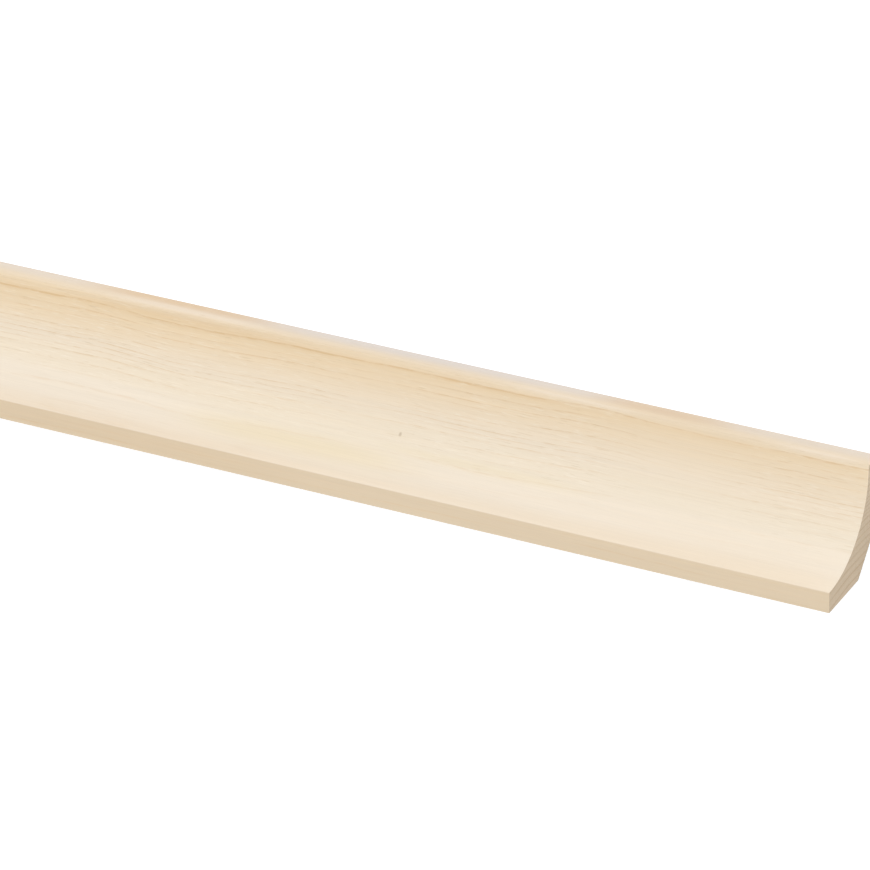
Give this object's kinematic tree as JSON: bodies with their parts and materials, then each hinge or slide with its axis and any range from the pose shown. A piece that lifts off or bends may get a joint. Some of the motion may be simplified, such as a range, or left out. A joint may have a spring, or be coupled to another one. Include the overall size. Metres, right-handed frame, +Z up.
{
  "type": "cove moulding",
  "caption": "Long pine trim strip with a hollow quarter-round face, square lips and bevelled back edges, made to cover the corner between a wall and a ceiling.",
  "frame": {"origin": "middle of the flat back, which is the face that it lies on", "axes": "+X along the length, +Y across the board towards the ceiling edge, +Z up from the flat back to the hollow face"},
  "size_m": [0.9, 0.0446, 0.0178],
  "materials": {
    "pine": "satin"
  },
  "bodies": {
    "root": {"cove_moulding": "pine"}
  },
  "joints": []
}
